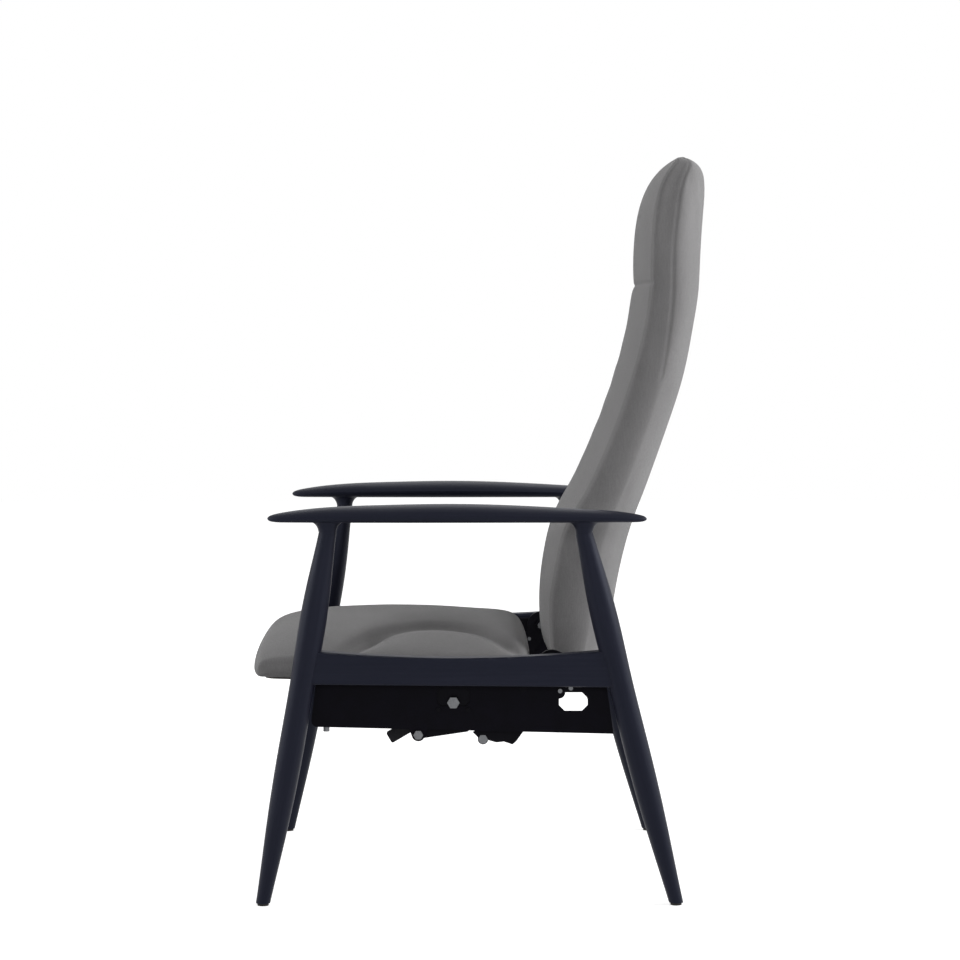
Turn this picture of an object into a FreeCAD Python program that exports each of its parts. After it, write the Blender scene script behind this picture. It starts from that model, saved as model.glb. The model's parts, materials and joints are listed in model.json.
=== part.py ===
import FreeCAD, Part
import math
import os

V = FreeCAD.Vector

# High-back reclining armchair. The chair faces -Y, the sitter's left is +X, +Z is up.
# The origin is on the floor at the centre of the chair's outline. All lengths are in mm.
# Places (y, z) are in the side view, seen from the sitter's left.

# Overall size
overall_height = 1190.0
overall_depth = 742.0
front_y = -overall_depth / 2
rear_y = overall_depth / 2
seat_half_width = 252.0

# Small shared values
cut_over = 1.0
running_gap = 0.05
soft_gap = 0.3

# Side frames: legs, arms and rails stand in two upright planes
side_clearance = 48.0
frame_x = seat_half_width + side_clearance
arm_under_z = 608.5
neck_z = 590.0
glide_height = 4.0
leg_d = 40.0
leg_neck_d = 27.5
leg_foot_d = 23.0
leg_bow = 2.0
front_leg_top_y = -240.7
front_leg_foot_y = -344.5
rear_leg_top_y = 163.0
rear_leg_foot_y = 310.0
# share of the leg's height, share of the step from neck or foot up to the full diameter
leg_lower_shares = ((0.0, 0.0), (0.16, 0.52), (0.4, 1.0), (0.62, 1.0))
leg_upper_shares = ((0.835, 1.0), (0.925, 0.45), (1.0, 0.0))
leg_tenon_d = 18.0
leg_tenon_length = 26.0

# Felt glides under the feet
glide_d = 18.0
glide_pin_d = 6.0
glide_pin_length = 14.0

# Armrests: long pointed boards with a flat underside and a crowned top
arm_front_y = -334.7
arm_rear_y = 261.0
arm_width = 60.0
arm_thickness = 28.5
arm_flare_along = 13.3
arm_flare_across = 2.5
# share of the length from the front tip, share of the width, underside and top as shares of the thickness
arm_form_shares = (
    (0.0, 0.1, 0.17, 0.23),
    (0.004, 0.22, 0.09, 0.32),
    (0.014, 0.36, 0.03, 0.41),
    (0.045, 0.56, 0.0, 0.55),
    (0.14, 0.78, 0.0, 0.79),
    (0.3, 0.96, 0.0, 0.94),
    (0.5, 1.0, 0.0, 1.0),
    (0.7, 0.93, 0.0, 0.87),
    (0.86, 0.74, 0.0, 0.68),
    (0.955, 0.52, 0.0, 0.5),
    (0.986, 0.34, 0.02, 0.37),
    (0.996, 0.22, 0.07, 0.29),
    (1.0, 0.1, 0.13, 0.2),
)
# share of the way from neck to armrest, shares of the flare's reach along and across the arm
arm_flare_shares = (
    (0.35, 0.06, 0.1),
    (0.62, 0.21, 0.3),
    (0.84, 0.46, 0.6),
    (0.95, 0.72, 0.85),
    (1.0, 1.0, 1.0),
    (1.12, 1.25, 1.2),
)
arm_base_share = 0.32
arm_waist_share = 0.42

# Side rails between the legs
rail_thickness = 28.0
rail_end_z = 407.0
rail_middle_z = 395.0
rail_front_under_z = 353.0
rail_rear_under_z = 348.0
rail_edge_radius = 4.0
dowel_d = 10.0
dowel_in_rail = 26.0
dowel_in_leg = 12.0
dowel_spacing = 26.0

# Layers of the mechanism, from the rail inward
plate_t = 3.0
bearing_t = 3.0
seat_arm_t = 4.0
bracket_t = 5.0
layer_gap = 1.5
bearing_gap = 1.0
plate_x = frame_x - rail_thickness / 2 - plate_t
seat_arm_x = plate_x - bearing_t - bearing_gap - seat_arm_t
bracket_x = seat_arm_x - layer_gap - bracket_t

# Pivots of the mechanism
seat_pivot = (-43.0, 321.0)
link_pivot = (68.0, 343.0)
link_end = (60.0, 300.0)
spring_front = (-213.0, 318.0)
spring_rear = (24.0, 288.0)
toe = (4.0, 260.0)
heel = (44.0, 266.0)
release_pivot = (-98.5, 269.5)
pivot_d = 12.0
pin_d = 10.0
small_pin_d = 6.0

# Chassis side plates
plate_top_z = 385.0
plate_front_top_y = -256.0
plate_front_low = (-268.0, 293.0)
plate_corner_mid = (-265.0, 285.0)
plate_corner = (-256.0, 282.0)
plate_rear_low = (211.0, 270.5)
plate_rear_top_y = 194.0
window_size = (52.0, 30.0)
window_center = (-43.0, 330.0)
hole_center = (147.0, 322.0)
hole_size = (45.5, 29.5)
hole_corner = 9.0
hole_ear_d = 20.0
lug_d = 21.0

# Cross members of the chassis
front_tube_d = 30.0
front_tube_at = (-245.0, 300.0)
rear_tube_d = 25.0
rear_tube_at = (195.0, 290.0)
tube_wall = 2.0
clevis_t = 4.0
clevis_gap = 26.0

# Fasteners
hex_af = 17.0
hex_height = 6.0
bolt_end = 2.0
washer_d = 22.0
washer_t = 1.5
small_head_d = 10.0
small_head_h = 4.0
tie_head_h = 10.5
rail_screw_d = 8.0
rail_screw_head_d = 15.0
rail_screw_length = 20.0

# Seat
board_edge = 12.0
seat_board_half_width = seat_half_width - board_edge
seat_board_t = 12.0
seat_board_front = (-345.0, 353.0)
seat_board_rear = (62.0, 341.0)
seat_crown_z = 438.5
seat_rear_y = 80.0
seat_front_crown = 13.0
seat_lip = 4.0
seat_bar_width = 30.0
seat_bar_t = 12.0
seat_front_bar_y = -170.0
seat_rear_bar_y = -35.0
seat_arm_hub_d = 40.0
seat_arm_band = 23.0
seat_arm_rear_low_y = 16.0
seat_arm_front_y = -205.0
# share of the half width, then shares of the crown height: drop at both ends, drop in the middle, pull-in
seat_form_shares = (
    (0.0, 0.0, 0.0, 0.0),
    (0.4, 0.06, 0.07, 0.0),
    (0.64, 0.16, 0.2, 0.01),
    (0.85, 0.29, 0.35, 0.03),
    (0.96, 0.38, 0.5, 0.08),
    (1.0, 0.46, 0.6, 0.16),
)

# Back
back_bottom_z = 378.0
crease_share = 0.7475
crease_z = back_bottom_z + (overall_height - back_bottom_z) * crease_share
bracket_hub_d = 48.0
crossbar_width = 30.0
crossbar_height = 20.0
back_board_t = 12.0
back_board_bottom_z = 366.0
back_board_top_inset = 40.0
back_board_top_z = overall_height - back_board_top_inset
back_board_inset = 33.4
back_side_inset = 39.0
back_half_width = seat_half_width - back_side_inset
board_side_inset = 58.0
back_board_half_width = back_half_width - board_side_inset
back_corner = 14.0
back_front_crown = 10.0
crease_depth = 4.0
# share of the back's height from its bottom, front and rear as shares of the rear limit, width share
back_form_shares = (
    (0.0, 0.314, 0.505, 0.930),
    (0.017, 0.291, 0.550, 0.962),
    (0.042, 0.288, 0.574, 0.977),
    (0.114, 0.281, 0.606, 0.996),
    (0.199, 0.308, 0.647, 1.0),
    (0.274, 0.351, 0.693, 0.992),
    (0.372, 0.457, 0.771, 0.974),
    (0.470, 0.548, 0.845, 0.958),
    (0.569, 0.624, 0.912, 0.948),
    (0.668, 0.677, 0.957, 0.943),
    (0.730, 0.694, 0.971, 0.941),
)
head_form_shares = (
    (0.769, 0.702, 0.981, 0.940),
    (0.828, 0.712, 0.988, 0.936),
    (0.902, 0.732, 0.996, 0.922),
    (0.951, 0.766, 1.0, 0.890),
    (0.985, 0.817, 0.992, 0.822),
    (1.0, 0.868, 0.962, 0.750),
)
# share of the board's height, rear face of the upholstery there as a share of the rear limit
board_form_shares = (
    (0.0, 0.559),
    (0.06, 0.565),
    (0.134, 0.606),
    (0.222, 0.647),
    (0.4, 0.771),
    (0.605, 0.912),
    (0.79, 0.977),
    (1.0, 0.988),
)
crossbar_z = 376.0
crossbar_y = rear_y * board_form_shares[0][1] - back_board_inset - back_board_t - crossbar_width / 2
back_crossbar_at = (crossbar_y, crossbar_z)
pivot_to_crossbar = 34.0
back_pivot = (crossbar_y - pivot_to_crossbar, 379.0)
toe_boss_d = 16.5
heel_boss_d = 23.0
# outline of the bracket's foot from the toe, as shares of the distance from toe to heel
bracket_foot_shares = (
    (-0.4, 0.28),
    (-0.2, 0.08),
    (0.54, -0.125),
    (0.85, -0.09),
    (1.17, -0.21),
    (1.33, -0.07),
    (1.63, 0.35),
    (1.72, 0.8),
    (0.3, 0.8),
)
bracket_screw_at = (92.2, 354.0)
bracket_screw_d = 6.5

torque_tube_d = 16.0

# Gas spring
spring_body_d = 28.0
spring_rod_d = 10.0
spring_wall = 2.0
spring_guide_length = 14.0
spring_body_length = 112.0
spring_neck_d = 10.0
spring_neck_length = 40.0
spring_eye_d = 28.0
spring_eye_width = 18.0
spring_eye_clear = 3.5
spring_head_d = 24.0
spring_head_width = 22.0
piston_length = 12.0

# Release levers
release_arm = 22.0
release_plate_t = 4.0
release_boss_d = 18.0
release_shaft_d = 12.0
release_knee = (-107.0, 287.0)
grip_start = (-113.5, 282.0)
grip_end = (-145.0, 263.5)
grip_width = 19.0
grip_t = 10.0
grip_radius = 3.0
grip_core_d = 8.0
release_tail = (-22.0, 277.0)
release_tail_d = 8.0
release_x = 22.0
strap_t = 3.0


def vec(x, place):
    return V(x, place[0], place[1])


def rod(place, diameter, x_from, x_to):
    return Part.makeCylinder(diameter / 2, x_to - x_from, vec(x_from, place), V(1, 0, 0))


def tube(place, diameter, wall, x_from, x_to):
    outer = rod(place, diameter, x_from, x_to)
    inner = rod(place, diameter - 2 * wall, x_from - cut_over, x_to + cut_over)
    return outer.cut(inner)


def hexagon(place, across_flats, x_from, x_to):
    radius = across_flats / math.sqrt(3)
    corners = []
    for k in range(7):
        angle = math.radians(60 * k)
        corners.append(V(x_from, place[0] + radius * math.cos(angle), place[1] + radius * math.sin(angle)))
    return Part.Face(Part.makePolygon(corners)).extrude(V(x_to - x_from, 0, 0))


def prism(places, x_from, x_to):
    points = [vec(x_from, p) for p in places]
    return Part.Face(Part.makePolygon(points + points[:1])).extrude(V(x_to - x_from, 0, 0))


def bar(start, end, start_d, end_d, x_from, x_to):
    """A flat link with round ends, which may differ in size."""
    dy = end[0] - start[0]
    dz = end[1] - start[1]
    length = math.hypot(dy, dz)
    tilt = math.asin((start_d - end_d) / 2 / length)
    heading = math.atan2(dz, dy)
    corners = []
    for side in (1, -1):
        angle = heading + side * (math.pi / 2 - tilt)
        edge = []
        for place, diameter in ((start, start_d), (end, end_d)):
            radius = diameter / 2
            edge.append((place[0] + radius * math.cos(angle), place[1] + radius * math.sin(angle)))
        corners.extend(edge if side == 1 else edge[::-1])
    body = prism(corners, x_from, x_to)
    ends = [rod(start, start_d, x_from, x_to), rod(end, end_d, x_from, x_to)]
    return body.multiFuse(ends).removeSplitter()


def mirrored(shape):
    return shape.mirror(V(0, 0, 0), V(1, 0, 0))


def both_sides(shape):
    return Part.makeCompound([shape, mirrored(shape)])


def smooth_curve(points):
    curve = Part.BSplineCurve()
    curve.interpolate(points)
    return curve.toShape()


def leg_place(top_y, foot_y, share):
    """Centre of a leg at a share of its height, bowed towards the chair's middle."""
    y = foot_y + (top_y - foot_y) * share
    bow = leg_bow * math.sin(math.pi * share)
    inward = -1 if foot_y > 0 else 1
    return (y + inward * bow, glide_height + (neck_z - glide_height) * share)


def leg_sections():
    sections = []
    for share, step in leg_lower_shares:
        sections.append((share, leg_foot_d + (leg_d - leg_foot_d) * step))
    for share, step in leg_upper_shares:
        sections.append((share, leg_neck_d + (leg_d - leg_neck_d) * step))
    return sections


def neck_axis(top_y, foot_y):
    low = leg_place(top_y, foot_y, leg_upper_shares[-2][0])
    high = leg_place(top_y, foot_y, 1.0)
    return (vec(frame_x, high) - vec(frame_x, low)).normalize()


def leg(top_y, foot_y):
    rings = []
    for share, diameter in leg_sections():
        center = vec(frame_x, leg_place(top_y, foot_y, share))
        axis = V(0, 0, 1) if share == 0.0 else neck_axis(top_y, foot_y)
        rings.append(Part.Wire(Part.makeCircle(diameter / 2, center, axis)))
    body = Part.makeLoft(rings, True)
    neck = vec(frame_x, leg_place(top_y, foot_y, 1.0))
    axis = neck_axis(top_y, foot_y)
    tenon = Part.makeCylinder(leg_tenon_d / 2, leg_tenon_length, neck, axis)
    body = body.fuse(tenon)
    foot = vec(frame_x, leg_place(top_y, foot_y, 0.0))
    socket = Part.makeCylinder(glide_pin_d / 2, glide_pin_length, foot, V(0, 0, 1))
    return body.cut(socket)


def glide(foot_y):
    foot = V(frame_x, foot_y, glide_height)
    disc = Part.makeCylinder(glide_d / 2, glide_height, V(frame_x, foot_y, 0))
    pin = Part.makeCylinder(glide_pin_d / 2 - running_gap, glide_pin_length - cut_over, foot)
    return disc.fuse(pin)


def arm_section(y, width, under, thickness):
    base = width * arm_base_share
    waist_z = under + thickness * arm_waist_share
    low_left = V(frame_x - base, y, under)
    low_right = V(frame_x + base, y, under)
    right = V(frame_x + width / 2, y, waist_z)
    left = V(frame_x - width / 2, y, waist_z)
    top = V(frame_x, y, under + thickness)
    bulge = (width / 2 - base) * 0.75
    lift = thickness * arm_waist_share * 0.4
    edges = [
        Part.LineSegment(low_left, low_right).toShape(),
        Part.Arc(low_right, V(frame_x + base + bulge, y, under + lift), right).toShape(),
        Part.Arc(right, top, left).toShape(),
        Part.Arc(left, V(frame_x - base - bulge, y, under + lift), low_left).toShape(),
    ]
    return Part.Wire(edges)


def arm_flare(top_y, foot_y):
    """The sculpted flare that runs from a leg's neck into the arm's underside."""
    neck = vec(frame_x, leg_place(top_y, foot_y, 1.0))
    rings = [Part.Wire(Part.makeCircle(leg_neck_d / 2, neck, neck_axis(top_y, foot_y)))]
    for rise_share, along_share, across_share in arm_flare_shares:
        center = neck + V(0, 0, (arm_under_z - neck_z) * rise_share)
        along = V(0, leg_neck_d / 2 + arm_flare_along * along_share, 0)
        across = V(leg_neck_d / 2 + arm_flare_across * across_share, 0, 0)
        rings.append(Part.Wire(Part.Ellipse(center + along, center + across, center).toShape()))
    return Part.makeLoft(rings, True)


def armrest():
    length = arm_rear_y - arm_front_y
    sections = []
    for at, width_share, under_share, top_share in arm_form_shares:
        under = arm_under_z + arm_thickness * under_share
        thickness = arm_thickness * (top_share - under_share)
        sections.append(arm_section(arm_front_y + length * at, arm_width * width_share, under, thickness))
    body = Part.makeLoft(sections, True)
    legs = ((front_leg_top_y, front_leg_foot_y), (rear_leg_top_y, rear_leg_foot_y))
    for top_y, foot_y in legs:
        body = body.fuse(arm_flare(top_y, foot_y))
    for top_y, foot_y in legs:
        body = body.cut(leg(top_y, foot_y))
    return body


def leg_y_at(top_y, foot_y, z):
    share = (z - glide_height) / (neck_z - glide_height)
    return leg_place(top_y, foot_y, share)[0]


def side_rail(legs):
    half = rail_thickness / 2
    front = leg_y_at(front_leg_top_y, front_leg_foot_y, rail_end_z)
    rear = leg_y_at(rear_leg_top_y, rear_leg_foot_y, rail_end_z)
    low_front = leg_y_at(front_leg_top_y, front_leg_foot_y, rail_front_under_z)
    low_rear = leg_y_at(rear_leg_top_y, rear_leg_foot_y, rail_rear_under_z)
    top_front = vec(frame_x - half, (front, rail_end_z))
    top_rear = vec(frame_x - half, (rear, rail_end_z))
    bottom_front = vec(frame_x - half, (low_front, rail_front_under_z))
    bottom_rear = vec(frame_x - half, (low_rear, rail_rear_under_z))
    dip = vec(frame_x - half, ((front + rear) / 2, rail_middle_z))
    edges = [
        Part.Arc(top_front, dip, top_rear).toShape(),
        Part.LineSegment(top_rear, bottom_rear).toShape(),
        Part.LineSegment(bottom_rear, bottom_front).toShape(),
        Part.LineSegment(bottom_front, top_front).toShape(),
    ]
    body = Part.Face(Part.Wire(edges)).extrude(V(rail_thickness, 0, 0))
    long_edges = [e for e in body.Edges if e.Length > (rear - front) * 0.9]
    body = body.makeFillet(rail_edge_radius, long_edges)
    for shape in legs:
        body = body.cut(shape)
    return body


def dowel_places():
    places = []
    middle_z = (rail_end_z + rail_front_under_z) / 2
    for top_y, foot_y, inward in (
        (front_leg_top_y, front_leg_foot_y, 1),
        (rear_leg_top_y, rear_leg_foot_y, -1),
    ):
        for step in (-0.5, 0.5):
            z = middle_z + step * dowel_spacing
            face = leg_y_at(top_y, foot_y, z) + inward * leg_d / 2
            places.append((face - inward * dowel_in_leg, z, inward))
    return places


def dowels(diameter):
    pins = []
    for y, z, inward in dowel_places():
        start = V(frame_x, y, z)
        length = dowel_in_leg + dowel_in_rail
        pins.append(Part.makeCylinder(diameter / 2, length, start, V(0, inward, 0)))
    return pins


def rounded_window(center, size, corner, x_from, x_to):
    half_y = size[0] / 2 - corner
    half_z = size[1] / 2 - corner
    flats = [
        (center[0] - half_y, center[1] - size[1] / 2),
        (center[0] + half_y, center[1] - size[1] / 2),
        (center[0] + size[0] / 2, center[1] - half_z),
        (center[0] + size[0] / 2, center[1] + half_z),
        (center[0] + half_y, center[1] + size[1] / 2),
        (center[0] - half_y, center[1] + size[1] / 2),
        (center[0] - size[0] / 2, center[1] + half_z),
        (center[0] - size[0] / 2, center[1] - half_z),
    ]
    return prism(flats, x_from, x_to)


def hole_ear(x_from, x_to):
    """Rounded ear that the plate keeps in the hole's upper front corner."""
    place = (hole_center[0] - hole_size[0] / 2, hole_center[1] + hole_size[1] / 2)
    return rod(place, hole_ear_d, x_from - cut_over, x_to + cut_over)


def plate_screw_places():
    z = plate_top_z - rail_screw_head_d
    return [(plate_front_top_y + rail_screw_head_d * 2 + k * (plate_rear_top_y - plate_front_top_y
            - rail_screw_head_d * 4) / 3, z) for k in range(4)]


def small_screw_places():
    y, z = hole_center
    return [(y - hole_size[0] * 0.46, z + hole_size[1] * 0.58),
            (y - hole_size[0] * 0.09, z + hole_size[1] * 0.73)]


def bearing_screw_places():
    y, z = window_center
    low = z - window_size[1] / 2 - small_head_d * 0.6
    return [(y - window_size[0] * 0.45, low), (y + window_size[0] * 0.45, low)]


def countersink(place):
    """Cone of a rail screw's head, through the plate."""
    return Part.makeCone(rail_screw_head_d / 2, rail_screw_d / 2, plate_t, vec(plate_x, place), V(1, 0, 0))


def chassis_plate():
    x_in = plate_x
    x_out = plate_x + plate_t
    edges = [
        Part.LineSegment(vec(x_in, (plate_front_top_y, plate_top_z)), vec(x_in, plate_front_low)).toShape(),
        Part.Arc(vec(x_in, plate_front_low), vec(x_in, plate_corner_mid), vec(x_in, plate_corner)).toShape(),
        Part.LineSegment(vec(x_in, plate_corner), vec(x_in, plate_rear_low)).toShape(),
        Part.LineSegment(vec(x_in, plate_rear_low), vec(x_in, (plate_rear_top_y, plate_top_z))).toShape(),
        Part.LineSegment(vec(x_in, (plate_rear_top_y, plate_top_z)),
                         vec(x_in, (plate_front_top_y, plate_top_z))).toShape(),
    ]
    body = Part.Face(Part.Wire(edges)).extrude(V(plate_t, 0, 0))
    lug_root = (release_pivot[0], release_pivot[1] + lug_d * 1.5)
    body = body.fuse(bar(release_pivot, lug_root, lug_d, lug_d * 2, x_in, x_out)).removeSplitter()
    low = x_in - cut_over
    high = x_out + cut_over
    cuts = [
        rounded_window(window_center, window_size, small_pin_d, low, high),
        rounded_window(hole_center, hole_size, hole_corner, low, high).cut(hole_ear(low, high)),
        rod(release_pivot, release_shaft_d + 2 * running_gap, low, high),
        rod(link_pivot, pivot_d, low, high),
        rod(seat_pivot, hex_af + 2 * soft_gap, low, high),
    ]
    for place in plate_screw_places():
        cuts.append(rod(place, rail_screw_d, low, high))
        cuts.append(countersink(place))
    for place in small_screw_places() + bearing_screw_places():
        cuts.append(rod(place, small_pin_d * 0.7, low, high))
    for cutter in cuts:
        body = body.cut(cutter)
    return body


def pivot_bearing():
    """Block behind the plate's window that carries the seat pivot."""
    low = window_center[1] - window_size[1] / 2 - small_head_d * 1.4
    high = window_center[1] + window_size[1] / 2 + small_head_d * 0.5
    front = window_center[0] - window_size[0] / 2 - small_head_d * 0.5
    rear = window_center[0] + window_size[0] / 2 + small_head_d * 0.5
    x_in = plate_x - bearing_t
    flange = prism([(front, low), (rear, low), (rear, high), (front, high)], x_in, plate_x)
    inset = (window_size[0] - 2 * soft_gap, window_size[1] - 2 * soft_gap)
    block = rounded_window(window_center, inset, small_pin_d, plate_x, plate_x + plate_t / 2)
    body = flange.fuse(block)
    body = body.cut(rod(seat_pivot, pivot_d, x_in - cut_over, plate_x + plate_t))
    for place in bearing_screw_places():
        body = body.cut(rod(place, small_pin_d * 0.7, x_in - cut_over, plate_x + cut_over))
    return body


def seat_pivot_bolt():
    x_out = plate_x + plate_t / 2
    x_in = seat_arm_x
    shank = rod(seat_pivot, pivot_d - 2 * running_gap, x_in, x_out)
    collar = rod(seat_pivot, hex_af, x_out, x_out + washer_t)
    head = hexagon(seat_pivot, hex_af, x_out + washer_t, x_out + washer_t + hex_height)
    return shank.fuse(collar).fuse(head).removeSplitter()


def rail_screws():
    screws = []
    for place in plate_screw_places():
        head = countersink(place)
        shank = rod(place, rail_screw_d, plate_x, plate_x + plate_t + rail_screw_length)
        drive = hexagon(place, rail_screw_d / 2, plate_x - cut_over, plate_x + plate_t * 0.7)
        screws.append(head.fuse(shank).cut(drive).removeSplitter())
    return screws


def small_screws(places, inner):
    screws = []
    for place in places:
        head_x = plate_x + plate_t
        shank = rod(place, small_pin_d * 0.7, inner, head_x)
        head = rod(place, small_head_d * 0.7, head_x, head_x + small_head_h * 0.5)
        screws.append(shank.fuse(head).removeSplitter())
    return Part.makeCompound(screws)


def front_crossmember():
    body = tube(front_tube_at, front_tube_d, tube_wall, -plate_x, plate_x)
    for side in (-1, 1):
        near = side * clevis_gap / 2
        far = side * (clevis_gap / 2 + clevis_t)
        ear = bar(front_tube_at, spring_front, front_tube_d, spring_head_d, min(near, far), max(near, far))
        ear = ear.cut(rod(front_tube_at, front_tube_d - tube_wall, min(near, far), max(near, far)))
        body = body.fuse(ear)
    reach = clevis_gap / 2 + clevis_t + cut_over
    body = body.cut(rod(spring_front, pin_d, -reach, reach))
    for side in (-1, 1):
        body = body.cut(tie_screw(side, small_pin_d))
    return body.removeSplitter()


def tie_screw(side, diameter):
    """Upright screw in the underside of the front cross tube, close to the side plate."""
    x = side * (plate_x - small_head_d * 1.5)
    low = front_tube_at[1] - front_tube_d / 2
    return Part.makeCylinder(diameter / 2, tube_wall * 3, V(x, front_tube_at[0], low - tube_wall))


def tie_screws():
    screws = []
    for side in (-1, 1):
        x = side * (plate_x - small_head_d * 1.5)
        low = front_tube_at[1] - front_tube_d / 2 - tube_wall
        head = Part.makeCylinder(small_head_d / 2, tie_head_h, V(x, front_tube_at[0], low - tie_head_h))
        screws.append(head.fuse(tie_screw(side, small_pin_d)))
    return Part.makeCompound(screws)


def rear_crossmember():
    return tube(rear_tube_at, rear_tube_d, tube_wall, -plate_x, plate_x)


def front_spring_pin():
    inner = clevis_gap / 2 + clevis_t
    outer = release_x + release_plate_t + washer_t
    shank = rod(spring_front, pin_d - 2 * running_gap, -outer, inner)
    head = rod(spring_front, pin_d * 1.6, inner, inner + washer_t * 2)
    ring = rod(spring_front, pin_d * 1.4, -outer - washer_t, -outer)
    return shank.fuse(head).fuse(ring).removeSplitter()


def link_pins():
    """Rivets on the side plates that carry the upper ends of the links."""
    x_out = plate_x + plate_t
    link_x = seat_arm_x
    shank = rod(link_pivot, pivot_d, link_x + seat_arm_t + running_gap, x_out)
    journal = rod(link_pivot, pin_d, link_x - running_gap, link_x + seat_arm_t + running_gap)
    return both_sides(shank.fuse(journal).removeSplitter())


def seat_board_z(y):
    slope = (seat_board_rear[1] - seat_board_front[1]) / (seat_board_rear[0] - seat_board_front[0])
    return seat_board_front[1] + slope * (y - seat_board_front[0])


def seat_arm():
    x_in = seat_arm_x
    x_out = seat_arm_x + seat_arm_t
    band_start = (0, back_pivot[1])
    rear_band = bar(back_pivot, band_start, seat_arm_band, seat_arm_band, x_in, x_out)
    hub = rod(back_pivot, seat_arm_hub_d, x_in, x_out)
    top = band_start[1] + seat_arm_band / 2
    low = seat_board_z(seat_front_bar_y) - seat_bar_t
    panel = prism([
        (seat_arm_front_y, seat_board_z(seat_arm_front_y) + seat_board_t),
        (seat_arm_front_y + seat_arm_band, top),
        (band_start[0], top),
        (seat_arm_rear_low_y + seat_arm_band, back_pivot[1] - seat_arm_band / 2),
        (seat_arm_rear_low_y, seat_board_z(seat_arm_rear_low_y) - seat_bar_t / 2),
        (seat_arm_rear_low_y - seat_arm_band / 2, seat_board_z(seat_rear_bar_y) - seat_bar_t),
        (seat_arm_front_y, low),
    ], x_in, x_out)
    lug_top = (seat_pivot[0], seat_pivot[1] + pivot_d * 2.4)
    lug = bar(seat_pivot, lug_top, pivot_d * 2.6, pivot_d * 4, x_in, x_out)
    body = panel.multiFuse([rear_band, hub, lug]).removeSplitter()
    body = body.cut(rod(seat_pivot, pivot_d, x_in - cut_over, x_out + cut_over))
    body = body.cut(rod(back_pivot, pivot_d, x_in - cut_over, x_out + cut_over))
    return body


def seat_bar(center_y):
    half = seat_bar_width / 2
    top_front = seat_board_z(center_y - half)
    top_rear = seat_board_z(center_y + half)
    outline = [
        (center_y - half, top_front),
        (center_y + half, top_rear),
        (center_y + half, top_rear - seat_bar_t),
        (center_y - half, top_front - seat_bar_t),
    ]
    return prism(outline, -seat_arm_x, seat_arm_x)


def seat_board():
    outline = [
        seat_board_front,
        seat_board_rear,
        (seat_board_rear[0], seat_board_rear[1] + seat_board_t),
        (seat_board_front[0], seat_board_front[1] + seat_board_t),
    ]
    body = prism(outline, -seat_board_half_width, seat_board_half_width)
    upright = [e for e in body.Edges if e.Length < seat_board_t * 1.2]
    return body.makeFillet(seat_board_t * 1.5, upright)


def seat_screws():
    screws = []
    for bar_y in (seat_front_bar_y, seat_rear_bar_y):
        for side in (-1, 1):
            x = side * seat_board_half_width * 0.7
            z = seat_board_z(bar_y) - seat_bar_t
            shank = Part.makeCylinder(small_pin_d / 2, seat_bar_t + seat_board_t * 0.8, V(x, bar_y, z))
            head = Part.makeCylinder(small_head_d / 2, small_head_h, V(x, bar_y, z - small_head_h))
            screws.append(shank.fuse(head))
    return screws


def seat_profile(x, end_drop, middle_drop, pull):
    """Side outline of the seat cushion at x: crowned or dipped top, rolled front, upright rear."""
    crown = seat_crown_z - seat_board_front[1]
    bottom = seat_board_front[1] + seat_lip
    rear_bottom_z = seat_board_rear[1] + seat_lip
    height = seat_crown_z - crown * end_drop - bottom
    front = front_y + seat_front_crown * (x / seat_half_width) ** 2
    rear = seat_rear_y - crown * pull
    inset = crown * pull
    rear_bottom = V(x, rear, rear_bottom_z)
    rear_middle = V(x, rear + seat_lip * 0.25, rear_bottom_z + height * 0.5)
    rear_top = V(x, rear - height * 0.16, bottom + height * 0.86)
    peak = V(x, front * 0.38, seat_crown_z - crown * middle_drop)
    front_top = V(x, front + height * 0.8 + inset, bottom + height * 0.905)
    shoulder = V(x, front + height * 0.27, bottom + height * 0.66)
    nose = V(x, front, bottom + height * 0.24)
    chin = V(x, front + height * 0.03, bottom + height * 0.07)
    front_bottom = V(x, front + height * 0.19, bottom)
    edges = [
        Part.LineSegment(front_bottom, rear_bottom).toShape(),
        Part.Arc(rear_bottom, rear_middle, rear_top).toShape(),
        Part.Arc(rear_top, peak, front_top).toShape(),
        Part.Arc(front_top, shoulder, nose).toShape(),
        Part.Arc(nose, chin, front_bottom).toShape(),
    ]
    return Part.Wire(edges)


def seat_cushion(board):
    sections = []
    for share, *form in seat_form_shares[::-1]:
        sections.append(seat_profile(-seat_half_width * share, *form))
    for share, *form in seat_form_shares[1:]:
        sections.append(seat_profile(seat_half_width * share, *form))
    return Part.makeLoft(sections, True).cut(board)


def back_bracket():
    """Bell crank of the back: hub, leg down to the heel, foot with the toe, ear to the crossbar."""
    x_in = bracket_x
    x_out = bracket_x + bracket_t
    span = heel[0] - toe[0]
    foot = [(toe[0] + span * along, toe[1] + span * up) for along, up in bracket_foot_shares]
    parts = [
        prism(foot, x_in, x_out),
        rod(toe, toe_boss_d, x_in, x_out),
        bar(back_pivot, back_crossbar_at, bracket_hub_d, pivot_d * 2.3, x_in, x_out),
    ]
    body = bar(back_pivot, heel, bracket_hub_d * 0.7, heel_boss_d, x_in, x_out)
    body = body.multiFuse(parts).removeSplitter()
    for place, diameter in ((back_pivot, pivot_d), (link_end, pin_d), (toe, pin_d)):
        body = body.cut(rod(place, diameter, x_in - cut_over, x_out + cut_over))
    return body


def crossbar_block(wall):
    y, z = back_crossbar_at
    half_w = crossbar_width / 2 - wall
    half_h = crossbar_height / 2 - wall
    low = z - half_h
    high = z + half_h
    outline = [(y - half_w, low), (y + half_w, low), (y + half_w, high), (y - half_w, high)]
    return prism(outline, -bracket_x, bracket_x)


def back_crossbar():
    return crossbar_block(0).cut(crossbar_block(tube_wall))


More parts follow.
